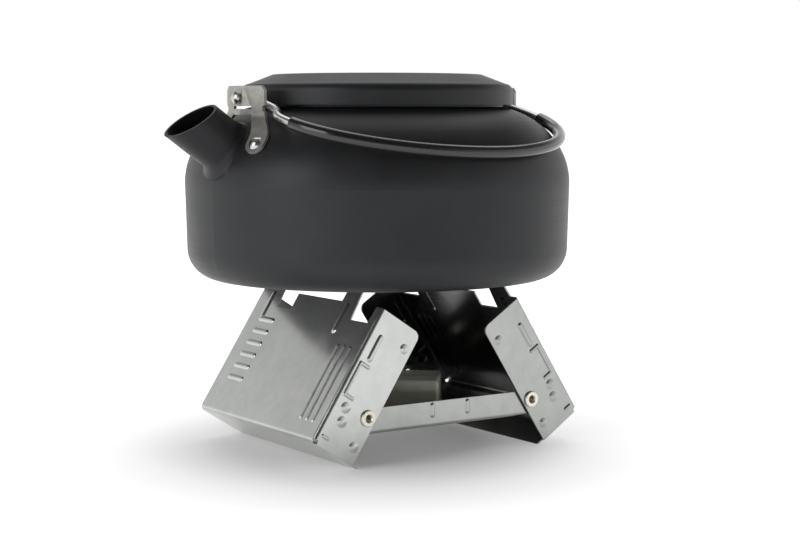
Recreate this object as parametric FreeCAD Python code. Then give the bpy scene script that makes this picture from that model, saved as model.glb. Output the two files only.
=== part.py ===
import FreeCAD, Part
import math
import os

# Folding solid-fuel pocket stove, opened to its cooking position, with the flat kettle that
# stands on its eight teeth. Millimetres. X runs along the stove's length, Y across it, Z is up.
# Everything is built about the middle of the stove, on the floor. SET_PLACE then moves the whole
# set so that the origin is on the floor under the middle of its bounds.

V = FreeCAD.Vector
X_AXIS = V(1, 0, 0)
Y_AXIS = V(0, 1, 0)
Z_AXIS = V(0, 0, 1)

# ---- stove: driving dimensions -------------------------------------------------------------
CLOSED_LENGTH = 98.0
WIDTH = 77.0
SHEET = 0.6
PIVOT_SPACING = 66.4
WING_LEAN = 57.0            # degrees from the closed box to the cooking position
PANEL_HEIGHT = 14.5         # pivot to the panel's outer face
FLANGE_DROP = 3.2           # pivot to the free edge of a wing's side flange
FOOT_EXTRA = 1.95           # how much further the end flange reaches
BEND = 1.3                  # outer radius of every bend in the sheet
FREE_EDGE = 32.7            # pivot to the free edge of a wing
TOOTH_TIP = 39.4
NOTCH_FLOOR = 26.7
FLANGE_CORNER = 2.6
TRAY_TOP = 2.9              # tray heights are measured from the pivots
TRAY_BOTTOM = -5.6
TRAY_REACH = 13.2           # how far the tray runs past each pivot
TRAY_GAP = 0.5              # between a wing's flange and the tray's flange
EYELET_RADIUS = 1.7
EYELET_BORE = 1.1
EYELET_HEAD_RADIUS = 2.75
EYELET_TAIL_RADIUS = 2.4
EYELET_RIM = 0.75
EYELET_SEAT = 0.03          # play under the rolled head
EYELET_MOUTH = 0.35         # how much the bore widens at the head
EYELET_THROAT = 0.5         # how deep it does so
RUNNING_FIT = 0.05
BUMP_HEIGHT = 0.45
PAST = 2.0                  # how far a cutting block reaches past what it cuts
FAR = 80.0                  # beyond the edge of any piece

END_REACH = (CLOSED_LENGTH - PIVOT_SPACING) / 2
FOOT_DROP = FLANGE_DROP + FOOT_EXTRA
LEAN = math.radians(WING_LEAN)
PIVOT_HEIGHT = END_REACH * math.sin(LEAN) + FOOT_DROP * math.cos(LEAN)
TOOTH_HEIGHT = PIVOT_HEIGHT + TOOTH_TIP * math.sin(LEAN) + PANEL_HEIGHT * math.cos(LEAN)
HALF_WIDTH = WIDTH / 2
TRAY_HALF = HALF_WIDTH - SHEET - TRAY_GAP
TRAY_FLOOR = PIVOT_HEIGHT + TRAY_BOTTOM + SHEET

# ---- fuel ----------------------------------------------------------------------------------
TABLET = (20.0, 12.0, 12.0)
TABLET_EDGE = 0.9
TABLET_GAP = 0.4
TABLET_TURN = -38.0
TABLET_PLACE = (3.7, -9.2)

# ---- kettle: driving dimensions ------------------------------------------------------------
# The kettle has its own frame: its axis is Z, its spout points along +X, its base is Z = 0.
KETTLE_TURN = 183.0
KETTLE_PLACE = (-2.2, 3.0)
SET_PLACE = (10.16, -2.07)
SEAT_GAP = 0.02
WALL = 1.2
BASE_CORNER = 10.5
SIDE_RADIUS = 65.6
WIDEST_RADIUS = 66.2
WIDEST_HEIGHT = 32.8
SHOULDER_RUN = 31.0         # half axes of the elliptical shoulder
SHOULDER_RISE = 26.6
COLLAR_RADIUS = 43.2
COLLAR_TOP = 60.6
COLLAR_WALL = 1.0

SPOUT_RISE = 35.0           # degrees
SPOUT_ROOT = (62.3, 45.8)
SPOUT_RADIUS = 8.9
SPOUT_BORE = 8.0
SPOUT_FLARE = 11.3
SPOUT_FLARE_TOP = 1.5
SPOUT_FLARE_FOOT = -2.4
SPOUT_MOUTH = (74.2, 53.9)
SPOUT_MOUTH_LEAN = 58.0     # degrees, elevation of the mouth's normal
SPOUT_NECK_STANDS_IN = 1.2  # how far the neck shows inside the wall
SPOUT_HOLE_REACH = 12.0
FLARE_STEPS = 6
RIVET_REACH = 4.0

LID_RADIUS = 46.7
LID_RIM_BOTTOM = 59.2
LID_RIM_TOP = 63.7
LID_ROUND = 2.6
LID_SLOPE = 21.0
LID_TOP_RADIUS = 36.0
LID_TOP = 69.5
LID_SHEET = 1.0
RECESS_RADIUS = 30.0
RECESS_FLOOR_RADIUS = 27.0
RECESS_FLOOR = 65.2
PLUG_RADIUS = 41.9
PLUG_BOTTOM = 55.0
SEAT_RADIUS = 44.2
SEAT_THICKNESS = 0.8
KNOB_RADIUS = 10.0
KNOB_WAIST = 7.0
KNOB_HEIGHT = 4.1
KNOB_RIM = 1.7
KNOB_DISH = 3.0             # radius of the flat middle of its top
KNOB_DISH_DEPTH = 0.45
KNOB_ROUND = 0.9            # width of the rounded rim
KNOB_DROP = 0.1             # how far the rim's rounding ends below the top
SCREW_RADIUS = 1.5
SCREW_HEAD_RADIUS = 3.2
SCREW_HEAD = 1.1
SCREW_LENGTH = 3.6
SCREW_TIP_GAP = 0.4
SCREW_SLOT = 0.7
SCREW_SLOT_DEPTH = 0.5

EAR_RADIUS = 55.5           # outer face at the fold
EAR_FOLD = 10.6             # degrees each half is folded back
EAR_HALF = 11.3
EAR_SHEET = 1.0
EAR_TOP = 65.3
EAR_BOTTOM = 55.9
EAR_CORNER = 1.4
ARCH_HALF = 5.2
EAR_WAIST_HEIGHT = 57.9
EAR_WAIST_DEPTH = 1.0
WINDOW_LOW = 57.8
WINDOW_HIGH = 58.7
WINDOW_HALF = 5.4
HOOD_TOP = 64.1
HOOD_PROUD = 1.1            # how far the lip over the window stands out, from its root
HOOD_TOP_HALF = 3.2
HOOD_TOP_PROUD = 0.35
HOOD_ROOT = 0.3             # how far inside the plate the lip begins
HOOD_FLAT = 0.45            # flat share of the lip's width
EAR_CUT_START = 45.0        # radius at which cuts through the ear begin
LEG_WIDTH = 7.4
LEG_TAB_ANGLE = 15.5        # degrees round from the ear's middle to the rivet
LEG_TAB_RADIUS = 61.8
LEG_TAB_UP = 2.6
LEG_OVERLAP = 0.6
LEG_SWEEP = 0.5             # how long the leg keeps to the plate before it bends out
LEG_SECTIONS = 5
LEG_GAP = 0.05
RIVET_SHANK = 1.5
RIVET_HEAD_RADIUS = 2.4
RIVET_HEAD = 1.3
RIVET_TAIL_RADIUS = 2.1
RIVET_TAIL = 0.8
RIVET_TAIL_GAP = 0.25

HINGE_HEIGHT = 61.4
BAIL_FOLD = 14.6            # degrees that the folded bail slopes down
BAIL_HALF = 50.8            # the hoop's half width at its ends
BAIL_NEAR_HALF = 56.0       # its half width where it is widest, on the spout's side
BAIL_FAR_HALF = 51.3        # the same, on the rear side
BAIL_STRAIGHT = 12.0        # where the legs begin to spread
BAIL_NEAR_WIDEST = 27.0     # how far from the hinge line the hoop is widest
BAIL_FAR_WIDEST = 21.5
BAIL_LENGTH = 68.2
BAIL_ELBOW = 2.4
WIRE_RADIUS = 1.3
BAIL_END = 57.4
BAIL_HEAD_RADIUS = 2.1
BAIL_HEAD = 1.1
BAIL_HEAD_OVERLAP = 0.2
GRIP_RADIUS = 2.05
GRIP_FIT = 0.02
GRIP_NEAR = 32.0            # distance from the hinge line to the grip's end, on the spout's side
GRIP_FAR = 28.0             # the same, on the rear side


def save(name, shape):
    """Write one node; every shape is a solid or a compound of separate solids."""
    shape = moved(shape, V(*SET_PLACE, 0))
    shape.exportStep("parts/" + name + ".step")
    print(name, len(shape.Solids), round(shape.Volume, 1), shape.isValid())


def box(low, high):
    size = V(*high) - V(*low)
    return Part.makeBox(size.x, size.y, size.z, V(*low))


def face_of(points, to_point):
    """A flat face with straight sides through 2-D points, mapped to 3-D by to_point."""
    corners = [to_point(*p) for p in points]
    return Part.Face(Part.makePolygon(corners + [corners[0]]))


def turned(shape, degrees, axis, centre=V(0, 0, 0)):
    copy = shape.copy()
    copy.rotate(centre, axis, degrees)
    return copy


def moved(shape, offset):
    copy = shape.copy()
    copy.translate(offset)
    return copy


# ---- pressed details in sheet --------------------------------------------------------------
def cap(centre, out, radius, height, depth):
    """A spherical cap of the given foot radius and height, sunk by depth below its foot."""
    ball = (radius * radius + height * height) / (2 * height)
    latitude = math.degrees(math.asin(max(-1.0, (ball - height - depth) / ball)))
    return Part.makeSphere(ball, centre - out * (ball - height), out, latitude, 90, 360)


def bead(start, end, out, radius, height, depth):
    """A straight bead with round ends, of the same cross-section as cap."""
    run = end - start
    side = out.cross(run)
    side.normalize()
    ball = (radius * radius + height * height) / (2 * height)
    low = ball - height - depth
    reach = math.sqrt(ball * ball - low * low)
    centre = start - out * (ball - height)
    left = centre + out * low - side * reach
    right = centre + out * low + side * reach
    arc = Part.Arc(left, centre + out * ball, right).toShape()
    section = Part.Face(Part.Wire([arc, Part.makeLine(right, left)]))
    ends = [cap(point, out, radius, height, depth) for point in (start, end)]
    return section.extrude(run).multiFuse(ends)


def press(sheet, out, thickness, caps=(), beads=()):
    """Raise caps and beads on the face that out points away from, hollow from behind."""
    sink = thickness / 2
    raised = [cap(p, out, r, BUMP_HEIGHT, sink) for p, r in caps]
    raised += [bead(p, q, out, r, BUMP_HEIGHT, sink) for p, q, r in beads]
    back = out * -thickness
    hollow = [cap(p + back, out, r, BUMP_HEIGHT, sink) for p, r in caps]
    hollow += [bead(p + back, q + back, out, r, BUMP_HEIGHT, sink) for p, q, r in beads]
    return sheet.multiFuse(raised).cut(Part.makeCompound(hollow)).removeSplitter()


# ---- bent sheet ----------------------------------------------------------------------------
def channel(half, low, high, thickness, bend, length):
    """An inverted U of sheet, open downwards, extruded along +X from X = 0."""
    inner = bend - thickness
    middle = math.sqrt(0.5)

    def at(y, z):
        return V(0, y, z)

    def corner(side, radius):
        centre_y = side * (half - bend)
        centre_z = high - bend
        return [at(centre_y + side * radius, centre_z),
                at(centre_y + side * radius * middle, centre_z + radius * middle),
                at(centre_y, centre_z + radius)]

    left = corner(-1, bend)
    right = corner(1, bend)
    left_in = corner(-1, inner)
    right_in = corner(1, inner)
    edges = [
        Part.makeLine(at(-half, low), left[0]),
        Part.Arc(*left).toShape(),
        Part.makeLine(left[2], right[2]),
        Part.Arc(right[2], right[1], right[0]).toShape(),
        Part.makeLine(right[0], at(half, low)),
        Part.makeLine(at(half, low), at(half - thickness, low)),
        Part.makeLine(at(half - thickness, low), right_in[0]),
        Part.Arc(*right_in).toShape(),
        Part.makeLine(right_in[2], left_in[2]),
        Part.Arc(left_in[2], left_in[1], left_in[0]).toShape(),
        Part.makeLine(left_in[0], at(-half + thickness, low)),
        Part.makeLine(at(-half + thickness, low), at(-half, low)),
    ]
    return Part.Face(Part.Wire(edges)).extrude(X_AXIS * length)


def angle_sheet(reach, low, high, thickness, bend, length, half):
    """Panel and end flange: an L of sheet in the XZ plane, |Y| below half."""
    inner = bend - thickness
    middle = math.sqrt(0.5)
    centre = V(-reach + bend, -half, high - bend)

    def at(x, z):
        return V(x, -half, z)

    def arc(radius):
        return Part.Arc(centre + V(-radius, 0, 0),
                        centre + V(-radius * middle, 0, radius * middle),
                        centre + V(0, 0, radius)).toShape()

    edges = [
        Part.makeLine(at(-reach, low), at(-reach, high - bend)),
        arc(bend),
        Part.makeLine(at(-reach + bend, high), at(length, high)),
        Part.makeLine(at(length, high), at(length, high - thickness)),
        Part.makeLine(at(length, high - thickness), at(-reach + bend, high - thickness)),
        arc(inner),
        Part.makeLine(at(-reach + thickness, high - bend), at(-reach + thickness, low)),
        Part.makeLine(at(-reach + thickness, low), at(-reach, low)),
    ]
    return Part.Face(Part.Wire(edges)).extrude(Y_AXIS * 2 * half)


# ---- wing ----------------------------------------------------------------------------------
# Wing frame: the pivot line is Y, X runs to the free edge, Z is the panel's outward normal.
# Both wings are this one pressing; the right one is turned half a turn about the vertical.
TEETH = (
    ((23.4, NOTCH_FLOOR), (25.0, TOOTH_TIP), (34.0, TOOTH_TIP), (34.5, FREE_EDGE), (34.5, NOTCH_FLOOR)),
    ((-24.2, NOTCH_FLOOR), (-22.7, TOOTH_TIP), (-14.4, TOOTH_TIP), (-14.2, FREE_EDGE),
     (-14.2, NOTCH_FLOOR)),
)
NOTCH_END = 45.0            # a cut notch runs out past the teeth
NOTCHES = (
    ((13.8, NOTCH_FLOOR), (13.8, NOTCH_END), (25.9, NOTCH_END), (23.4, NOTCH_FLOOR)),
    ((-34.5, NOTCH_FLOOR), (-36.1, NOTCH_END), (-22.4, NOTCH_END), (-24.2, NOTCH_FLOOR)),
)
TOOTH_ROUND = 0.5
FOOT_TRIM = 1.0             # extra length of the end flange, taken off flat at the floor
CORNER_RELIEF = 0.4         # the small opening where three bends meet
FLANGE_CAPS = ((25.5, -0.1, 1.7), (-0.9, 9.4, 1.9), (-5.4, 8.2, 1.9), (-10.4, -0.1, 1.8))
FLANGE_BEADS = (
    (16.4, 9.9, 24.2, 9.9, 1.0),
    (2.6, 12.2, 13.9, 12.2, 0.65),
    (13.9, 12.2, 13.9, 8.8, 0.65),
    (2.6, 12.2, 2.6, 8.8, 0.65),
    (-12.4, 12.2, -12.4, 10.0, 0.6),
)
# Plain pressed bars stiffen the panel, in two groups.
BAR_PITCH = 4.6
BAR_COUNT = 6
BAR_START = -2.0
BAR_ENDS = (21.0, 29.5)
LONG_BARS = ((-9.0, 17.0, -32.5), (-9.0, 17.0, -28.8), (-9.0, 17.0, -25.1))
TOOTH_RIBS = ((22.2, 31.0, -18.4), (22.2, 31.0, 29.4))


def tooth(points):
    def at(y, x):
        return V(x, y, PANEL_HEIGHT - SHEET)
    plate = face_of(points, at).extrude(Z_AXIS * SHEET)
    tips = [e for e in plate.Edges
            if abs(e.CenterOfMass.x - TOOTH_TIP) < 0.01 and abs(e.Length - SHEET) < 0.01]
    return plate.makeFillet(TOOTH_ROUND, tips)


def panel_beads():
    def at(x, y):
        return V(x, y, PANEL_HEIGHT)
    bars = []
    for i in range(BAR_COUNT):
        x = BAR_START + i * BAR_PITCH
        bars.append((at(x, BAR_ENDS[0]), at(x, BAR_ENDS[1]), 0.95))
    for start, end, y in LONG_BARS:
        bars.append((at(start, y), at(end, y), 0.8))
    for start, end, y in TOOTH_RIBS:
        bars.append((at(start, y), at(end, y), 1.3))
    return bars


def make_wing():
    drop = -FLANGE_DROP
    sides = channel(HALF_WIDTH, drop, PANEL_HEIGHT, SHEET, BEND, FREE_EDGE + END_REACH - BEND)
    sides = moved(sides, V(BEND - END_REACH, 0, 0))
    end = angle_sheet(END_REACH, -FOOT_DROP - FOOT_TRIM, PANEL_HEIGHT, SHEET, BEND, 0.0, HALF_WIDTH - BEND)
    # below the bends the flanges close up to each other
    shut = PANEL_HEIGHT - BEND - CORNER_RELIEF
    parts = [end]
    tuck = HALF_WIDTH - SHEET - RUNNING_FIT
    parts.append(box((-END_REACH, -tuck, -FOOT_DROP - FOOT_TRIM), (SHEET - END_REACH, tuck, shut)))
    for side in (-1, 1):
        low_y = min(side * HALF_WIDTH, side * (HALF_WIDTH - SHEET))
        parts.append(box((-END_REACH, low_y, drop), (BEND - END_REACH, low_y + SHEET, shut)))
    wing = sides.multiFuse(parts)
    deep = [face_of(p, lambda y, x: V(x, y, PANEL_HEIGHT - 2 * SHEET)).extrude(Z_AXIS * 3 * SHEET)
            for p in NOTCHES]
    wing = wing.cut(Part.makeCompound(deep)).multiFuse([tooth(p) for p in TEETH])
    # rounded inner corner of each side flange
    corner_x = FREE_EDGE - FLANGE_CORNER
    corner_z = drop + FLANGE_CORNER
    corner = box((corner_x, -HALF_WIDTH - PAST, drop - PAST),
                 (FREE_EDGE + PAST, HALF_WIDTH + PAST, corner_z))
    round_bar = Part.makeCylinder(FLANGE_CORNER, WIDTH + 2 * PAST, V(corner_x, -HALF_WIDTH - PAST, corner_z),
                                  Y_AXIS)
    wing = wing.cut(corner.cut(round_bar))
    for side in (-1, 1):
        out = Y_AXIS * side
        y = side * HALF_WIDTH
        caps = [(V(x, y, z), r) for x, z, r in FLANGE_CAPS]
        beads = [(V(x, y, z), V(x2, y, z2), r) for x, z, x2, z2, r in FLANGE_BEADS]
        wing = press(wing, out, SHEET, caps, beads)
    wing = press(wing, Z_AXIS, SHEET, (), panel_beads())
    bore = Part.makeCylinder(EYELET_RADIUS + RUNNING_FIT, WIDTH + 2 * PAST, V(0, -HALF_WIDTH - PAST, 0), Y_AXIS)
    return wing.cut(bore).removeSplitter()


def place_wing(wing, side):
    """side -1 is the left wing, +1 the right one; the foot is trimmed to stand flat."""
    shape = turned(wing, -WING_LEAN, Y_AXIS)
    shape.translate(V(-PIVOT_SPACING / 2, 0, PIVOT_HEIGHT))
    shape = shape.cut(box((-FAR, -FAR, -FAR), (0, FAR, 0)))
    if side > 0:
        shape = turned(shape, 180, Z_AXIS)
    return shape


# ---- tray ----------------------------------------------------------------------------------
TRAY_RIDGE_SPACING = 14.3
TRAY_RIDGE = (-1.6, 1.6, 0.95)
TRAY_END_ROUND = 3.5
TRAY_BEAD_RADIUS = 1.1
TRAY_BEADS = ((-38.0, 38.0, 26.0), (-38.0, 38.0, -26.0))


def make_tray():
    reach = PIVOT_SPACING / 2 + TRAY_REACH
    low = -TRAY_TOP
    high = -TRAY_BOTTOM
    tray = channel(TRAY_HALF, low, high, SHEET, BEND, 2 * reach)
    tray = turned(moved(tray, V(-reach, 0, 0)), 180, X_AXIS)
    for end in (-1, 1):
        x = end * (reach - TRAY_END_ROUND)
        past = end * (reach + PAST)
        block = box((min(x, past), -FAR, TRAY_TOP - TRAY_END_ROUND), (max(x, past), FAR, TRAY_TOP + PAST))
        bar = Part.makeCylinder(TRAY_END_ROUND, 2 * FAR, V(x, -FAR, TRAY_TOP - TRAY_END_ROUND), Y_AXIS)
        tray = tray.cut(block.cut(bar))
    for side in (-1, 1):
        y = side * TRAY_HALF
        ridges = []
        for x in (-TRAY_RIDGE_SPACING / 2, TRAY_RIDGE_SPACING / 2):
            ridges.append((V(x, y, TRAY_RIDGE[0]), V(x, y, TRAY_RIDGE[1]), TRAY_RIDGE[2]))
        tray = press(tray, Y_AXIS * side, SHEET, (), ridges)
    floor = TRAY_BOTTOM + SHEET
    beads = [(V(x1, y, floor), V(x2, y, floor), TRAY_BEAD_RADIUS) for x1, x2, y in TRAY_BEADS]
    tray = press(tray, Z_AXIS, SHEET, (), beads)
    for x in (-PIVOT_SPACING / 2, PIVOT_SPACING / 2):
        tray = tray.cut(Part.makeCylinder(EYELET_RADIUS, 2 * FAR, V(x, -FAR, 0), Y_AXIS))
    return moved(tray.removeSplitter(), V(0, 0, PIVOT_HEIGHT))


def make_eyelet():
    """A rolled hollow rivet on the Y axis, its head towards -Y; Y = 0 is the wing's outer face."""
    inside = SHEET + TRAY_GAP + SHEET
    rim = EYELET_RIM
    seat = EYELET_SEAT

    def at(radius, depth):
        return V(radius, depth, 0)

    def rolled(low, high, reach):
        """A ring whose outer edge is rolled to a half round."""
        half = (high - low) / 2
        tip = reach - half
        return [at(tip, low), at(reach, low + half), at(tip, high)]

    head = rolled(-seat - rim, -seat, EYELET_HEAD_RADIUS)
    tail = rolled(inside, inside + rim, EYELET_TAIL_RADIUS)
    mouth = at(EYELET_BORE + EYELET_MOUTH, -seat - rim)
    throat = at(EYELET_BORE, -seat - rim + EYELET_THROAT)
    edges = [
        Part.makeLine(throat, mouth),
        Part.makeLine(mouth, head[0]),
        Part.Arc(*head).toShape(),
        Part.makeLine(head[2], at(EYELET_RADIUS, -seat)),
        Part.makeLine(at(EYELET_RADIUS, -seat), at(EYELET_RADIUS, inside)),
        Part.makeLine(at(EYELET_RADIUS, inside), tail[0]),
        Part.Arc(*tail).toShape(),
        Part.makeLine(tail[2], at(EYELET_BORE, inside + rim)),
        Part.makeLine(at(EYELET_BORE, inside + rim), throat),
    ]
    return Part.Face(Part.Wire(edges)).revolve(V(0, 0, 0), Y_AXIS, 360)


def place_eyelet(eyelet, side_x, side_y):
    shape = eyelet if side_y < 0 else turned(eyelet, 180, Z_AXIS)
    return moved(shape, V(side_x * PIVOT_SPACING / 2, side_y * HALF_WIDTH, PIVOT_HEIGHT))


def make_tablet(place):
    length, depth, height = TABLET
    y = place * (depth + TABLET_GAP) / 2
    block = box((-length / 2, y - depth / 2, 0), (length / 2, y + depth / 2, height))
    block = block.makeChamfer(TABLET_EDGE, block.Edges)
    block = turned(block, TABLET_TURN, Z_AXIS)
    return moved(block, V(TABLET_PLACE[0], TABLET_PLACE[1], TRAY_FLOOR + SEAT_GAP))


# ---- kettle --------------------------------------------------------------------------------
SHOULDER_CENTRE = WIDEST_RADIUS - SHOULDER_RUN


def shoulder_height(radius, inset=0.0):
    share = (radius - SHOULDER_CENTRE) / (SHOULDER_RUN - inset)
    return WIDEST_HEIGHT + (SHOULDER_RISE - inset) * math.sqrt(1 - share * share)


def shoulder_slope(radius):
    """Angle below the horizontal of the shoulder's outer face, in radians."""
    share = (radius - SHOULDER_CENTRE) / SHOULDER_RUN
    return math.atan(SHOULDER_RISE / SHOULDER_RUN * share / math.sqrt(1 - share * share))


def body_outline(inset, top_radius):
    """Edges from the base's middle, round the side and up the shoulder to top_radius."""
    corner = BASE_CORNER - inset
    side = SIDE_RADIUS - inset
    turn = side - corner
    middle = math.sqrt(0.5)
    start = V(0, 0, inset)
    foot = V(turn, 0, inset)
    bulge = V(turn + corner * middle, 0, inset + corner * (1 - middle))
    low = V(side, 0, inset + corner)
    widest = V(WIDEST_RADIUS - inset, 0, WIDEST_HEIGHT)
    centre = V(SHOULDER_CENTRE, 0, WIDEST_HEIGHT)
    crown = V(SHOULDER_CENTRE, 0, WIDEST_HEIGHT + SHOULDER_RISE - inset)
    ellipse = Part.Ellipse(widest, crown, centre)
    finish = math.acos((top_radius - SHOULDER_CENTRE) / (SHOULDER_RUN - inset))
    shoulder = Part.ArcOfEllipse(ellipse, 0, finish).toShape()
    end = V(top_radius, 0, shoulder_height(top_radius, inset))
    edges = [Part.makeLine(start, foot), Part.Arc(foot, bulge, low).toShape(),
             Part.makeLine(low, widest), shoulder]
    return edges, start, end


def spun(edges):
    return Part.Face(Part.Wire(Part.__sortEdges__(edges))).revolve(V(0, 0, 0), Z_AXIS, 360)


def kettle_form(inset):
    """The closed outer form of the kettle, shrunk by inset, up to the collar's foot."""
    edges, start, end = body_outline(inset, COLLAR_RADIUS)
    edges.append(Part.makeLine(end, V(0, 0, end.z)))
    edges.append(Part.makeLine(V(0, 0, end.z), start))
    return spun(edges)


def spout_direction():
    rise = math.radians(SPOUT_RISE)
    return V(math.cos(rise), 0, math.sin(rise))


def spout_point(along):
    return V(SPOUT_ROOT[0], 0, SPOUT_ROOT[1]) + spout_direction() * along


def make_kettle_body():
    inner_radius = COLLAR_RADIUS - COLLAR_WALL
    edges, start, end = body_outline(0.0, COLLAR_RADIUS)
    inner, inner_start, inner_end = body_outline(WALL, inner_radius)
    rim_out = V(COLLAR_RADIUS, 0, COLLAR_TOP)
    rim_in = V(inner_radius, 0, COLLAR_TOP)
    edges += inner
    edges += [Part.makeLine(end, rim_out), Part.makeLine(rim_out, rim_in),
              Part.makeLine(rim_in, inner_end), Part.makeLine(start, inner_start)]
    body = spun(edges)
    hole = Part.makeCylinder(SPOUT_RADIUS + RUNNING_FIT, 2 * SPOUT_HOLE_REACH, spout_point(-SPOUT_HOLE_REACH),
                             spout_direction())
    rivet_holes = [Part.makeCylinder(RIVET_SHANK + RUNNING_FIT, 2 * RIVET_REACH,
                                     frame[0] - frame[3] * RIVET_REACH, frame[3])
                   for ear in (0, 180) for frame in rivet_frames(ear)]
    return body.cut(Part.makeCompound([hole] + rivet_holes))


def make_spout():
    axis = spout_direction()
    root = V(SPOUT_ROOT[0], 0, SPOUT_ROOT[1])
    foot = SPOUT_FLARE_FOOT - PAST
    points = []
    for i in range(FLARE_STEPS + 1):
        share = 1 - i / FLARE_STEPS
        along = SPOUT_FLARE_TOP + (SPOUT_FLARE_FOOT - SPOUT_FLARE_TOP) * share
        points.append(V(SPOUT_RADIUS + (SPOUT_FLARE - SPOUT_RADIUS) * share ** 2, 0, along))
    curve = Part.BSplineCurve()
    curve.interpolate(points)
    outline = [curve.toShape(),
               Part.makeLine(points[-1], V(0, 0, SPOUT_FLARE_TOP)),
               Part.makeLine(V(0, 0, SPOUT_FLARE_TOP), V(0, 0, foot)),
               Part.makeLine(V(0, 0, foot), V(SPOUT_FLARE, 0, foot)),
               Part.makeLine(V(SPOUT_FLARE, 0, foot), points[0])]
    flare = spun(outline)
    flare = turned(flare, 90 - SPOUT_RISE, Y_AXIS)
    flare.translate(root)
    flare = flare.cut(kettle_form(0.0))
    tube = Part.makeCylinder(SPOUT_RADIUS, FAR, spout_point(-SPOUT_HOLE_REACH), axis)
    tube = tube.cut(kettle_form(WALL + SPOUT_NECK_STANDS_IN))
    spout = tube.fuse(flare)
    spout = spout.cut(Part.makeCylinder(SPOUT_BORE, 2 * FAR, spout_point(-FAR), axis))
    mouth = box((-FAR / 2, -FAR / 2, 0), (FAR / 2, FAR / 2, FAR))
    mouth = turned(mouth, 90 - SPOUT_MOUTH_LEAN, Y_AXIS)
    mouth.translate(V(SPOUT_MOUTH[0], 0, SPOUT_MOUTH[1]))
    spout = spout.cut(mouth)
    return max(spout.Solids, key=lambda solid: solid.CenterOfMass.x)


# ---- ears ----------------------------------------------------------------------------------
def rivet_frames(ear_angle):
    """For one ear's two rivets: point on the shoulder, down-slope, width and outward vectors."""
    slope = shoulder_slope(LEG_TAB_RADIUS)
    frames = []
    for side in (-1, 1):
        round_angle = math.radians(ear_angle + side * LEG_TAB_ANGLE)
        radial = V(math.cos(round_angle), math.sin(round_angle), 0)
        point = radial * LEG_TAB_RADIUS + Z_AXIS * shoulder_height(LEG_TAB_RADIUS)
        down = radial * math.cos(slope) - Z_AXIS * math.sin(slope)
        out = radial * math.sin(slope) + Z_AXIS * math.cos(slope)
        frames.append((point, down, out.cross(down), out))
    return frames


def strip_section(centre, width_dir, out, width):
    half_width = width_dir * (width / 2)
    half_sheet = out * (EAR_SHEET / 2)
    corners = [centre - half_width - half_sheet, centre + half_width - half_sheet,
               centre + half_width + half_sheet, centre - half_width + half_sheet]
    return Part.makePolygon(corners + [corners[0]])


def make_leg(side):
    """One leg of the ear that faces +X: down the folded plate, out, and flat on the shoulder."""
    point, down, across, out = rivet_frames(0)[1 if side > 0 else 0]
    if across.y * side < 0:
        across = across * -1
    fold = math.radians(EAR_FOLD)
    plate_across = V(-math.sin(fold), side * math.cos(fold), 0)
    mid_fold = V(EAR_RADIUS - EAR_SHEET / 2 / math.cos(fold), 0, 0)
    inner = ARCH_HALF / math.cos(fold)
    outer = EAR_HALF / math.cos(fold)
    centre = point + out * (EAR_SHEET / 2 + LEG_GAP)
    top = mid_fold + plate_across * ((inner + outer) / 2) + Z_AXIS * (EAR_BOTTOM + LEG_OVERLAP)
    tab_top = centre - down * LEG_TAB_UP
    pull = (tab_top - top).Length * LEG_SWEEP
    sections = []
    for i in range(LEG_SECTIONS + 1):
        share = i / LEG_SECTIONS
        blend = share * share * (3 - 2 * share)
        start_pull = share * (1 - share) ** 2
        end_pull = share * share * (share - 1)
        spot = top * (1 - blend) + tab_top * blend - Z_AXIS * (pull * start_pull) + down * (pull * end_pull)
        run = down * blend - Z_AXIS * (1 - blend)
        width_dir = plate_across * (1 - blend) + across * blend
        width_dir.normalize()
        normal = run.cross(width_dir) * -side
        normal.normalize()
        width = (outer - inner) * (1 - blend) + LEG_WIDTH * blend
        sections.append(strip_section(spot, width_dir, normal, width))
    strip = Part.makeLoft(sections, True, False)
    plate = box((-LEG_TAB_UP, -LEG_WIDTH / 2, -EAR_SHEET / 2), (0, LEG_WIDTH / 2, EAR_SHEET / 2))
    disc = Part.makeCylinder(LEG_WIDTH / 2, EAR_SHEET, V(0, 0, -EAR_SHEET / 2), Z_AXIS)
    tab = plate.fuse(disc)
    tab.Placement = FreeCAD.Placement(centre, FreeCAD.Rotation(down, out.cross(down), out))
    leg = strip.fuse(tab)
    hole = Part.makeCylinder(RIVET_SHANK + RUNNING_FIT, 2 * RIVET_REACH, point - out * RIVET_REACH, out)
    return leg.cut(hole)


def folded_plate(low, high, half, radius, thickness):
    """The folded plate that the ear is cut from, its outer face at radius on the fold."""
    fold = math.radians(EAR_FOLD)
    back = half * math.tan(fold)
    deep = thickness / math.cos(fold)

    def at(x, y):
        return V(x, y, low)

    outline = [(radius, 0), (radius - back, half), (radius - back - deep, half), (radius - deep, 0),
               (radius - back - deep, -half), (radius - back, -half)]
    return face_of(outline, at).extrude(Z_AXIS * (high - low))


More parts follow.
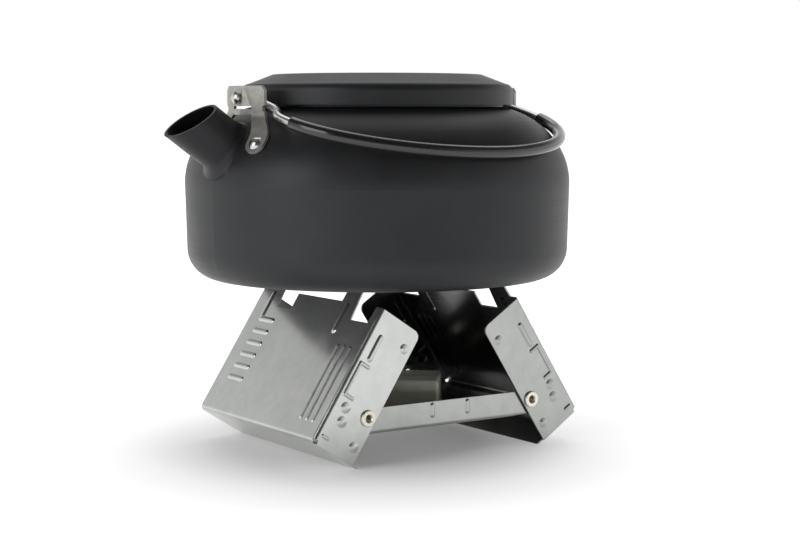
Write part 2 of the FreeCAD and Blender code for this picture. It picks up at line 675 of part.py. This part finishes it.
def make_ear():
    plate = folded_plate(EAR_BOTTOM, EAR_TOP, EAR_HALF, EAR_RADIUS, EAR_SHEET)
    cuts = []
    for side in (-1, 1):
        y = side * EAR_HALF
        # chamfered top corner and the waist that the folded bail lies in
        corner = face_of([(y - side * EAR_CORNER, EAR_TOP), (y - side * EAR_CORNER, EAR_TOP + PAST),
                          (y + side * PAST, EAR_TOP + PAST), (y + side * PAST, EAR_TOP - EAR_CORNER),
                          (y, EAR_TOP - EAR_CORNER)],
                         lambda a, b: V(EAR_CUT_START, a, b)).extrude(X_AXIS * FAR)
        waist = Part.makeCylinder(EAR_WAIST_DEPTH, FAR, V(EAR_CUT_START, y, EAR_WAIST_HEIGHT), X_AXIS)
        cuts += [corner, waist]
    # a window under the pivot, with a lip pressed out above it
    cuts.append(box((EAR_CUT_START, -WINDOW_HALF, WINDOW_LOW), (FAR, WINDOW_HALF, WINDOW_HIGH)))
    hood = Part.makeLoft([
        strip_outline(WINDOW_HALF, WINDOW_HIGH, HOOD_PROUD),
        strip_outline(HOOD_TOP_HALF, HOOD_TOP, HOOD_TOP_PROUD)], True, True)
    ear = plate.fuse(hood)
    ear = ear.cut(Part.makeCompound(cuts))
    ear = ear.multiFuse([make_leg(-1), make_leg(1)])
    pivot = Part.makeCylinder(WIRE_RADIUS + RUNNING_FIT, FAR, V(EAR_CUT_START, 0, HINGE_HEIGHT), X_AXIS)
    return ear.cut(pivot).removeSplitter()


def strip_outline(half, height, proud):
    """A horizontal outline of the lip: flat against the fold, standing proud of it."""
    radius = EAR_RADIUS - HOOD_ROOT
    back = half * math.tan(math.radians(EAR_FOLD))
    flat = half * HOOD_FLAT
    corners = [V(radius - back, -half, height), V(radius + proud, -flat, height),
               V(radius + proud, flat, height), V(radius - back, half, height)]
    return Part.makePolygon(corners + [corners[0]])


def make_rivet(frame):
    point, down, across, out = frame
    head_seat = EAR_SHEET + LEG_GAP + SEAT_GAP
    tail_seat = WALL + RIVET_TAIL_GAP
    shank = Part.makeCylinder(RIVET_SHANK, head_seat + tail_seat, point - out * tail_seat, out)
    head = cap(point + out * head_seat, out, RIVET_HEAD_RADIUS, RIVET_HEAD, 0.0)
    tail = cap(point - out * tail_seat, out * -1, RIVET_TAIL_RADIUS, RIVET_TAIL, 0.0)
    return shank.multiFuse([head, tail])


# ---- bail ----------------------------------------------------------------------------------
def quarter_bow(half, widest, start):
    """A quarter ellipse of the bow, from a height above the hinge line up to the crown."""
    ellipse = Part.Ellipse(V(half, widest, 0), V(0, BAIL_LENGTH, 0), V(0, widest, 0))
    turn = math.asin((start - widest) / (BAIL_LENGTH - widest))
    return Part.ArcOfEllipse(ellipse, turn, math.pi / 2).toShape()


def hoop_bow(near_start, far_start):
    near = quarter_bow(BAIL_NEAR_HALF, BAIL_NEAR_WIDEST, near_start)
    far = quarter_bow(BAIL_FAR_HALF, BAIL_FAR_WIDEST, far_start)
    far.rotate(V(0, 0, 0), Y_AXIS, 180)
    return [near, far]


def bail_leg(side, half, widest):
    """From the ear to the bow: the straight end, an elbow, a straight and an offset bend."""
    middle = math.sqrt(0.5)
    elbow = BAIL_HALF + BAIL_ELBOW
    offset = half - BAIL_HALF
    run = widest - BAIL_STRAIGHT
    middle_bend = V(BAIL_HALF + offset / 2, BAIL_STRAIGHT + run / 2, 0)
    radius = (run * run + offset * offset) / (4 * offset)
    turn = math.asin(run / 2 / radius) / 2
    first_mid = V(BAIL_HALF + radius * (1 - math.cos(turn)), BAIL_STRAIGHT + radius * math.sin(turn), 0)
    last_mid = V(half - radius * (1 - math.cos(turn)), widest - radius * math.sin(turn), 0)
    edges = [
        Part.makeLine(V(BAIL_END, 0, 0), V(elbow, 0, 0)),
        Part.Arc(V(elbow, 0, 0), V(elbow - BAIL_ELBOW * middle, BAIL_ELBOW * (1 - middle), 0),
                 V(BAIL_HALF, BAIL_ELBOW, 0)).toShape(),
        Part.makeLine(V(BAIL_HALF, BAIL_ELBOW, 0), V(BAIL_HALF, BAIL_STRAIGHT, 0)),
        Part.Arc(V(BAIL_HALF, BAIL_STRAIGHT, 0), first_mid, middle_bend).toShape(),
        Part.Arc(middle_bend, last_mid, V(half, widest, 0)).toShape(),
    ]
    if side < 0:
        for edge in edges:
            edge.rotate(V(0, 0, 0), Y_AXIS, 180)
    return edges


def rod_along(path, radius):
    start = path.Edges[0]
    origin = start.valueAt(start.FirstParameter)
    direction = start.tangentAt(start.FirstParameter)
    ring = Part.Wire(Part.makeCircle(radius, origin, direction))
    return path.makePipeShell([ring], True, True)


def fold_bail(shape):
    folded = turned(shape, -BAIL_FOLD, X_AXIS)
    return moved(folded, V(0, 0, HINGE_HEIGHT))


def make_bail():
    edges = hoop_bow(BAIL_NEAR_WIDEST, BAIL_FAR_WIDEST)
    edges += bail_leg(1, BAIL_NEAR_HALF, BAIL_NEAR_WIDEST)
    edges += bail_leg(-1, BAIL_FAR_HALF, BAIL_FAR_WIDEST)
    path = Part.Wire(Part.__sortEdges__(edges))
    wire = rod_along(path, WIRE_RADIUS)
    heads = []
    for side in (1, -1):
        seat = V(side * (BAIL_END - BAIL_HEAD_OVERLAP), 0, 0)
        heads.append(cap(seat, X_AXIS * side, BAIL_HEAD_RADIUS, BAIL_HEAD, 0.0))
    return fold_bail(wire.multiFuse(heads))


def make_grip():
    path = Part.Wire(Part.__sortEdges__(hoop_bow(GRIP_NEAR, GRIP_FAR)))
    grip = rod_along(path, GRIP_RADIUS).cut(rod_along(path, WIRE_RADIUS + GRIP_FIT))
    return fold_bail(grip)


# ---- lid -----------------------------------------------------------------------------------
def make_lid():
    slope = math.tan(math.radians(LID_SLOPE))
    plug_in = PLUG_RADIUS - LID_SHEET
    seat = COLLAR_TOP + SEAT_GAP

    def outline(inset):
        edge = LID_RADIUS - inset
        top = LID_TOP - inset
        knee = LID_TOP_RADIUS - inset * 0.2
        start = LID_RIM_TOP
        shoulder = top - (edge - LID_ROUND - knee) * slope
        return [V(edge, 0, LID_RIM_BOTTOM), V(edge, 0, start),
                V(edge - LID_ROUND * 0.35, 0, start + (shoulder - start) * 0.72),
                V(edge - LID_ROUND, 0, shoulder), V(knee, 0, top)]

    outer = outline(0.0)
    inner = outline(LID_SHEET)
    edges = []
    for points in (outer, inner):
        edges.append(Part.makeLine(points[0], points[1]))
        edges.append(Part.Arc(points[1], points[2], points[3]).toShape())
        edges.append(Part.makeLine(points[3], points[4]))
    sink = LID_SHEET
    lip = V(RECESS_RADIUS, 0, LID_TOP)
    foot = V(RECESS_FLOOR_RADIUS, 0, RECESS_FLOOR)
    lip_in = V(RECESS_RADIUS + sink, 0, LID_TOP - sink)
    foot_in = V(RECESS_FLOOR_RADIUS + sink * 0.6, 0, RECESS_FLOOR - sink)
    centre = V(0, 0, RECESS_FLOOR)
    centre_in = V(0, 0, RECESS_FLOOR - sink)
    chain = [outer[4], lip, foot, centre, centre_in, foot_in, lip_in, inner[4]]
    for i in range(len(chain) - 1):
        edges.append(Part.makeLine(chain[i], chain[i + 1]))
    edges.append(Part.makeLine(outer[0], inner[0]))
    shell = spun(edges)
    screw_hole = Part.makeCylinder(SCREW_RADIUS + RUNNING_FIT, FAR, V(0, 0, RECESS_FLOOR - FAR / 2))
    shell = shell.cut(screw_hole)
    plug_top = LID_TOP - LID_SHEET - (PLUG_RADIUS - LID_TOP_RADIUS) * slope + 0.2
    plug = Part.makeCylinder(PLUG_RADIUS, plug_top - PLUG_BOTTOM, V(0, 0, PLUG_BOTTOM))
    ledge = Part.makeCylinder(SEAT_RADIUS, SEAT_THICKNESS, V(0, 0, seat))
    ring = plug.fuse(ledge)
    ring = ring.cut(Part.makeCylinder(plug_in, FAR, V(0, 0, PLUG_BOTTOM - PAST)))
    return shell.fuse(ring).removeSplitter()


def make_knob():
    base = RECESS_FLOOR + SEAT_GAP
    top = base + KNOB_HEIGHT
    rim = top - KNOB_RIM
    flange = KNOB_RADIUS - KNOB_ROUND
    foot = V(KNOB_WAIST + KNOB_ROUND, 0, base)
    under = V(flange, 0, rim)
    lip = V(flange, 0, top - KNOB_DROP)
    dish = V(KNOB_DISH, 0, top - KNOB_DISH_DEPTH)
    half_dish = V((flange + KNOB_DISH) / 2, 0, top - KNOB_DISH_DEPTH * 0.75)
    edges = [
        Part.makeLine(V(0, 0, base), foot),
        Part.Arc(foot, V(KNOB_WAIST, 0, (base + rim) / 2), under).toShape(),
        Part.Arc(under, V(KNOB_RADIUS, 0, (rim + top) / 2), lip).toShape(),
        Part.Arc(lip, half_dish, dish).toShape(),
        Part.makeLine(dish, V(0, 0, dish.z)),
        Part.makeLine(V(0, 0, dish.z), V(0, 0, base)),
    ]
    knob = spun(edges)
    blind = SCREW_LENGTH - LID_SHEET
    return knob.cut(Part.makeCylinder(SCREW_RADIUS + RUNNING_FIT, blind + PAST, V(0, 0, base - PAST)))


def make_screw():
    under = RECESS_FLOOR - LID_SHEET - SEAT_GAP
    shank = Part.makeCylinder(SCREW_RADIUS, SCREW_LENGTH - SCREW_TIP_GAP, V(0, 0, under))
    head = cap(V(0, 0, under), Z_AXIS * -1, SCREW_HEAD_RADIUS, SCREW_HEAD, 0.0)
    slot_top = under - SCREW_HEAD + SCREW_SLOT_DEPTH
    across = box((-SCREW_HEAD_RADIUS, -SCREW_SLOT / 2, under - SCREW_HEAD - PAST),
                 (SCREW_HEAD_RADIUS, SCREW_SLOT / 2, slot_top))
    return shank.fuse(head).cut(across)


def seat_kettle(shape):
    placed = turned(shape, KETTLE_TURN, Z_AXIS)
    return moved(placed, V(KETTLE_PLACE[0], KETTLE_PLACE[1], TOOTH_HEIGHT + SEAT_GAP))


def main():
    os.makedirs("parts", exist_ok=True)
    wing = make_wing()
    save("left_wing", place_wing(wing, -1))
    save("right_wing", place_wing(wing, 1))
    save("base_tray", make_tray())
    eyelet = make_eyelet()
    for side_x, name_x in ((-1, "left"), (1, "right")):
        for side_y, name_y in ((-1, "front"), (1, "back")):
            save("eyelet_" + name_y + "_" + name_x, place_eyelet(eyelet, side_x, side_y))
    save("fuel_tablet_front", make_tablet(-1))
    save("fuel_tablet_back", make_tablet(1))

    ear = make_ear()
    kettle = {
        "kettle_body": make_kettle_body(),
        "kettle_spout": make_spout(),
        "spout_ear": ear,
        "rear_ear": turned(ear, 180, Z_AXIS),
        "bail_wire": make_bail(),
        "bail_grip": make_grip(),
        "kettle_lid": make_lid(),
        "lid_knob": make_knob(),
        "lid_knob_screw": make_screw(),
    }
    for ear_angle, name in ((0, "spout_ear_rivet"), (180, "rear_ear_rivet")):
        for frame, place in zip(rivet_frames(ear_angle), ("left", "right")):
            kettle[name + "_" + place] = make_rivet(frame)
    for name, shape in kettle.items():
        save(name, seat_kettle(shape))
    print("pivot height", round(PIVOT_HEIGHT, 3), "tooth height", round(TOOTH_HEIGHT, 3))


main()
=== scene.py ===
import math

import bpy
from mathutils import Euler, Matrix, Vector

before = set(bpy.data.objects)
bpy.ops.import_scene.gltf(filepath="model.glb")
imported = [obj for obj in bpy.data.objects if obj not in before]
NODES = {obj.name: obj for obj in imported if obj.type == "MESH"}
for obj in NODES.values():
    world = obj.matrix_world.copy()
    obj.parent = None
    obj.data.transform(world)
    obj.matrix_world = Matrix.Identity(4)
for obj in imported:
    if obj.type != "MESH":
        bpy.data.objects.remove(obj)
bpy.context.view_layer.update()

# A folding pocket stove with its fuel, and the camping kettle that stands on its teeth. Every visible
# piece is a CAD node: this script gives each one its material, and adds the studio. Metres, Z is up.

MM = 0.001

# ---- places --------------------------------------------------------------------------------
FIRE = (0.013, -0.010, 0.032)              # just above the fuel: sheet that faces it is darkened, part soot, part painted shade
BACKDROP = (0.56, 0.83, 0.0)               # the way from the viewer to the white backdrop

CAMERA_PLACE = (-0.3171, -0.4937, 0.1143)
CAMERA_DIP = math.radians(5.22)            # below level
CAMERA_TURN = math.radians(-34.07)         # about the vertical, from looking along +Y
CAMERA_LENS = 76.85                        # millimetres, on a sensor 36 wide
CAMERA_SENSOR = 36.0
CAMERA_NEAR = 0.01
CAMERA_FAR = 50.0

# ---- brightness of the studio --------------------------------------------------------------
FLOOR_HALF = 6.0
FLOOR_TONE = [(0.3, 0.90), (0.7, 0.92)]
# distance from the middle, and the floor's painted glow there, though it is no lamp: little under the
# stove, so that its shadow stays
FLOOR_PAINTED_LIGHT = [(0.04, 0.14), (0.08, 0.52), (0.13, 0.72), (0.26, 0.80)]
# by the height of the direction: white walls, then a dim ceiling
WALLS_TO_CEILING = [(0.28, 1.0), (0.58, 0.14)]
# from behind the viewer, at 0, to the middle of the backdrop, at 1
ROOM_TO_BACKDROP = [(0.0, 0.10), (0.12, 0.16), (0.30, 0.80), (0.52, 1.0)]

SUN_ENERGY = 0.75
SUN_SPREAD = math.radians(50.0)
SUN_HEIGHT = 1.5                           # for one step towards the backdrop
SIDE_BOX_ENERGY = 2.5
SIDE_BOX_SIZE = (0.5, 0.6)
SIDE_BOX_PLACE = (-0.95, -0.10, 0.40)
SIDE_BOX_TARGET = (0.01, 0.0, 0.06)

# ---- relief that several materials share ---------------------------------------------------
FINE = 0.02 * MM                           # a grain too fine to see as a shape
COARSE = 0.03 * MM                         # a moulded or blasted texture
BEVEL_SAMPLES = 4


# ---- node helpers --------------------------------------------------------------------------
class Nodes:
    """Short ways to add nodes to one node tree."""

    def __init__(self, tree):
        self.tree = tree

    def add(self, kind, **inputs):
        node = self.tree.nodes.new("ShaderNode" + kind)
        self.feed_all(node, inputs)
        return node

    def feed_all(self, node, inputs):
        for name, value in inputs.items():
            self.feed(node.inputs[name.replace("_", " ")], value)

    def feed(self, socket, value):
        if isinstance(value, bpy.types.NodeSocket):
            self.tree.links.new(value, socket)
        else:
            socket.default_value = value

    def vector(self, operation, *values):
        node = self.add("VectorMath")
        node.operation = operation
        for socket, value in zip(node.inputs, values):
            self.feed(socket, value)
        return node.outputs

    def ramp(self, factor, stops):
        """A colour ramp through stops of a position and a colour."""
        node = self.add("ValToRGB", Fac=factor)
        elements = node.color_ramp.elements
        while len(elements) < len(stops):
            elements.new(0.5)
        for element, (position, colour) in zip(elements, stops):
            element.position = position
            element.color = (*colour, 1.0)
        return node.outputs["Color"]

    def grey(self, factor, stops):
        return self.ramp(factor, [(position, (value,) * 3) for position, value in stops])

    def mix(self, factor, first, second, blend="MIX"):
        node = self.add("Mix")
        node.data_type = "RGBA"
        node.blend_type = blend
        self.feed(node.inputs["Factor"], factor)
        self.feed(node.inputs[6], first)
        self.feed(node.inputs[7], second)
        return node.outputs[2]


class Look(Nodes):
    """A material, with its textures in the piece's own coordinates."""

    def __init__(self, name):
        self.material = bpy.data.materials.new(name)
        self.material.use_nodes = True
        super().__init__(self.material.node_tree)
        self.surface = self.tree.nodes["Principled BSDF"]
        coordinates = self.add("TexCoord")
        self.place = coordinates.outputs["Object"]
        self.outward = coordinates.outputs["Normal"]

    def set(self, **inputs):
        self.feed_all(self.surface, inputs)
        return self.material

    def noise(self, scale, detail=3.0, roughness=0.5, place=None, distortion=0.0):
        node = self.add("TexNoise", Scale=scale, Detail=detail, Roughness=roughness,
                        Distortion=distortion, Vector=place or self.place)
        return node.outputs["Fac"]

    def streaks(self, scales, detail=3.0, roughness=0.5):
        """Noise drawn out along the axes that have the smaller scales."""
        stretched = self.add("Mapping", Vector=self.place, Scale=scales)
        return self.noise(1.0, detail, roughness, stretched.outputs["Vector"])

    def bump(self, height, strength, distance, under=None):
        node = self.add("Bump", Height=height, Strength=strength, Distance=distance)
        if under is not None:
            self.feed(node.inputs["Normal"], under)
        return node.outputs["Normal"]

    def soft_edges(self, radius):
        node = self.add("Bevel", Radius=radius)
        node.samples = BEVEL_SAMPLES
        return node.outputs["Normal"]

    def facing(self, target):
        """How squarely a face looks at a point, from -1 to 1."""
        towards = self.vector("SUBTRACT", target, self.place)["Vector"]
        unit = self.vector("NORMALIZE", towards)["Vector"]
        return self.vector("DOT_PRODUCT", unit, self.outward)["Value"]


# ---- materials -----------------------------------------------------------------------------
def zinc_plated_steel(name, dark, light):
    """Satin zinc plating on rolled sheet: faintly cloudy, a rolling grain, and soot with painted
    shade darkening the faces towards the fire.
    """
    look = Look(name)
    clouds = look.noise(55.0, 4.0, 0.55, distortion=0.4)
    blots = look.grey(look.noise(240.0, 4.0, 0.6), [(0.35, 0.42), (0.65, 0.66)])
    plating = look.mix(0.14, look.ramp(clouds, [(0.30, dark), (0.70, light)]), blots)
    # faces that look at the fire are darkened: part soot, part painted shade inside the fire box
    # under the kettle
    soot_and_shade_tone = look.grey(look.noise(38.0, 5.0, 0.6), [(0.35, 0.14), (0.70, 0.30)])
    soot_and_shade_mask = look.grey(look.facing(FIRE), [(0.15, 0.0), (0.55, 0.8)])
    grain = look.streaks((2200.0, 60.0, 2200.0), 3.0, 0.6)
    normal = look.soft_edges(0.25 * MM)
    normal = look.bump(grain, 0.10, FINE, normal)
    normal = look.bump(look.noise(5200.0, 2.0), 0.14, FINE, normal)
    roughness = look.grey(look.mix(0.40, clouds, grain), [(0.32, 0.17), (0.68, 0.27)])
    tint = look.mix(soot_and_shade_mask, plating, soot_and_shade_tone)
    return look.set(Base_Color=tint, Metallic=1.0, Roughness=roughness, Normal=normal)


def nickel_plate():
    """Warm, slightly dull plating of the eyelets."""
    look = Look("nickel_plate")
    cloud = look.noise(900.0)
    tint = look.ramp(cloud, [(0.3, (0.74, 0.70, 0.58)), (0.7, (0.86, 0.83, 0.73))])
    normal = look.bump(look.noise(3500.0, 2.0), 0.15, FINE, look.soft_edges(0.1 * MM))
    roughness = look.grey(cloud, [(0.3, 0.24), (0.7, 0.36)])
    return look.set(Base_Color=tint, Metallic=0.9, Roughness=roughness, Normal=normal)


def hard_anodised(name, dark, light):
    """Matte charcoal anodising on spun aluminium, with faint rings round the vertical axis."""
    look = Look(name)
    clouds = look.noise(45.0, 5.0, 0.6)
    rings = look.streaks((6.0, 6.0, 2600.0), 2.0)
    speckle = look.noise(6500.0, 2.0)
    tint = look.mix(0.12, look.ramp(clouds, [(0.30, dark), (0.72, light)]),
                    look.ramp(speckle, [(0.35, dark), (0.65, light)]))
    roughness = look.grey(look.mix(0.35, clouds, rings), [(0.3, 0.40), (0.7, 0.50)])
    normal = look.bump(speckle, 0.22, COARSE, look.bump(rings, 0.10, FINE))
    return look.set(Base_Color=tint, Metallic=0.55, Roughness=roughness, Normal=normal,
                    Specular_IOR_Level=0.45)


def stainless(name, dark, light, smoothest):
    """Stainless steel with a drawing grain along the vertical axis."""
    look = Look(name)
    grain = look.streaks((2600.0, 2600.0, 90.0), 3.0, 0.6)
    tint = look.ramp(look.noise(320.0, 4.0, 0.6), [(0.3, dark), (0.7, light)])
    normal = look.bump(grain, 0.20, FINE, look.soft_edges(0.12 * MM))
    roughness = look.grey(grain, [(0.3, smoothest), (0.7, smoothest + 0.12)])
    return look.set(Base_Color=tint, Metallic=1.0, Roughness=roughness, Normal=normal)


def bright_rivet():
    """Polished rivet heads."""
    look = Look("bright_rivet")
    cloud = look.noise(1300.0)
    return look.set(Base_Color=look.grey(cloud, [(0.3, 0.48), (0.7, 0.62)]), Metallic=0.97,
                    Roughness=look.grey(cloud, [(0.3, 0.16), (0.7, 0.28)]),
                    Normal=look.bump(look.noise(4200.0, 2.0), 0.12, FINE))


def glossy_sleeve():
    """Shiny black sleeve, drawn over the wire, with the slight waviness of extruded tube."""
    look = Look("glossy_sleeve")
    dust = look.noise(2400.0)
    return look.set(Base_Color=look.grey(dust, [(0.35, 0.007), (0.70, 0.016)]),
                    Roughness=look.grey(dust, [(0.3, 0.13), (0.7, 0.20)]),
                    Normal=look.bump(look.noise(140.0, 2.0), 0.10, 0.2 * MM),
                    Coat_Weight=0.35, Coat_Roughness=0.08)


def pressed_fuel():
    """Pressed white powder, a little translucent, with a fine grain."""
    look = Look("pressed_fuel")
    cloud = look.noise(260.0, 4.0, 0.6)
    tint = look.ramp(cloud, [(0.3, (0.86, 0.85, 0.72)), (0.7, (0.95, 0.94, 0.82))])
    normal = look.bump(look.noise(2100.0, 4.0, 0.7), 0.45, 0.08 * MM, look.soft_edges(0.5 * MM))
    return look.set(Base_Color=tint, Roughness=0.82, Normal=normal, Subsurface_Weight=0.25,
                    Subsurface_Scale=2.0 * MM)


def moulded_plastic():
    """Black plastic with a fine moulded texture."""
    look = Look("moulded_plastic")
    texture = look.noise(3200.0)
    return look.set(Base_Color=look.grey(texture, [(0.3, 0.018), (0.7, 0.030)]),
                    Roughness=look.grey(texture, [(0.3, 0.42), (0.7, 0.55)]),
                    Normal=look.bump(texture, 0.25, COARSE))


def studio_floor():
    """Pale floor with painted light: a glow, though it is no lamp, that grows away from the middle,
    up to white.
    """
    look = Look("studio_floor")
    distance = look.vector("LENGTH", look.place)["Value"]
    return look.set(Base_Color=look.grey(look.noise(3.0, 2.0), FLOOR_TONE), Roughness=0.75,
                    # painted light: the emission grows with the distance from the middle
                    Emission_Color=look.grey(distance, FLOOR_PAINTED_LIGHT), Emission_Strength=1.0)


# ---- pieces --------------------------------------------------------------------------------
def named(word):
    """The CAD nodes that have the word in their names."""
    return sorted(name for name in NODES if word in name)


def paint(material, *names):
    for name in names:
        materials = NODES[name].data.materials
        materials.clear()
        materials.append(material)


def paint_stove():
    paint(zinc_plated_steel("zinc_plain", (0.50, 0.52, 0.50), (0.60, 0.61, 0.59)), "left_wing")
    # the right wing and the tray get a darker copy of the left wing's zinc: painted shade, the sheets
    # are the same
    paint(zinc_plated_steel("zinc_painted_shade", (0.33, 0.345, 0.33), (0.40, 0.41, 0.395)),
          "right_wing", "base_tray")
    paint(nickel_plate(), *named("eyelet"))
    paint(pressed_fuel(), *named("fuel"))


def paint_kettle():
    paint(hard_anodised("anodised_body", (0.024, 0.025, 0.027), (0.034, 0.035, 0.037)),
          "kettle_body", "kettle_lid")
    paint(hard_anodised("anodised_spout", (0.020, 0.020, 0.022), (0.030, 0.030, 0.033)),
          "kettle_spout")
    paint(stainless("stainless_sheet", (0.33, 0.32, 0.30), (0.45, 0.44, 0.41), 0.46),
          "spout_ear", "rear_ear")
    paint(stainless("stainless_wire", (0.52, 0.51, 0.49), (0.66, 0.65, 0.63), 0.22),
          "bail_wire", "lid_knob_screw")
    paint(bright_rivet(), *named("rivet"))
    paint(glossy_sleeve(), "bail_grip")
    paint(moulded_plastic(), "lid_knob")


# ---- studio --------------------------------------------------------------------------------
def add_object(name, data, place=(0.0, 0.0, 0.0)):
    thing = bpy.data.objects.new(name, data)
    thing.location = place
    bpy.context.scene.collection.objects.link(thing)
    return thing


def make_camera():
    camera = bpy.data.cameras.new("camera")
    camera.sensor_width = CAMERA_SENSOR
    camera.lens = CAMERA_LENS
    camera.clip_start = CAMERA_NEAR
    camera.clip_end = CAMERA_FAR
    holder = add_object("camera", camera, CAMERA_PLACE)
    holder.rotation_euler = Euler((math.pi / 2 - CAMERA_DIP, 0.0, CAMERA_TURN), "XYZ")
    bpy.context.scene.camera = holder


def make_world():
    """A white backdrop and side walls, a dim ceiling and a dim room on the viewer's side."""
    world = bpy.data.worlds.new("studio")
    world.use_nodes = True
    bpy.context.scene.world = world
    nodes = Nodes(world.node_tree)
    direction = nodes.add("TexCoord").outputs["Generated"]
    height = nodes.add("SeparateXYZ", Vector=direction).outputs["Z"]
    depth = nodes.vector("DOT_PRODUCT", direction, BACKDROP)["Value"]
    across = nodes.add("MapRange", Value=depth, From_Min=-1.0, From_Max=1.0).outputs["Result"]
    light = nodes.mix(1.0, nodes.grey(height, WALLS_TO_CEILING),
                      nodes.grey(across, ROOM_TO_BACKDROP), "MULTIPLY")
    nodes.feed(nodes.tree.nodes["Background"].inputs["Color"], light)


def aim(name, kind, direction, place=(0.0, 0.0, 0.0)):
    """A new light of the kind, shining in the direction."""
    light = bpy.data.lights.new(name, kind)
    lamp = add_object(name, light, place)
    lamp.rotation_euler = Vector(direction).to_track_quat("-Z", "Y").to_euler()
    return light


def make_lights():
    """A weak and very soft sun from behind and above, and a soft box at the left."""
    sun = aim("soft_sun", "SUN", (-BACKDROP[0], -BACKDROP[1], -SUN_HEIGHT))
    sun.energy = SUN_ENERGY
    sun.angle = SUN_SPREAD
    box = aim("side_box", "AREA", Vector(SIDE_BOX_TARGET) - Vector(SIDE_BOX_PLACE), SIDE_BOX_PLACE)
    box.shape = "RECTANGLE"
    box.size, box.size_y = SIDE_BOX_SIZE
    box.energy = SIDE_BOX_ENERGY


def make_floor():
    mesh = bpy.data.meshes.new("floor")
    corners = [(x * FLOOR_HALF, y * FLOOR_HALF, 0.0) for x, y in ((-1, -1), (1, -1), (1, 1), (-1, 1))]
    mesh.from_pydata(corners, [], [(0, 1, 2, 3)])
    mesh.materials.append(studio_floor())
    add_object("floor", mesh)


bpy.context.scene.view_settings.view_transform = "Standard"
make_camera()
make_world()
make_lights()
make_floor()
paint_stove()
paint_kettle()
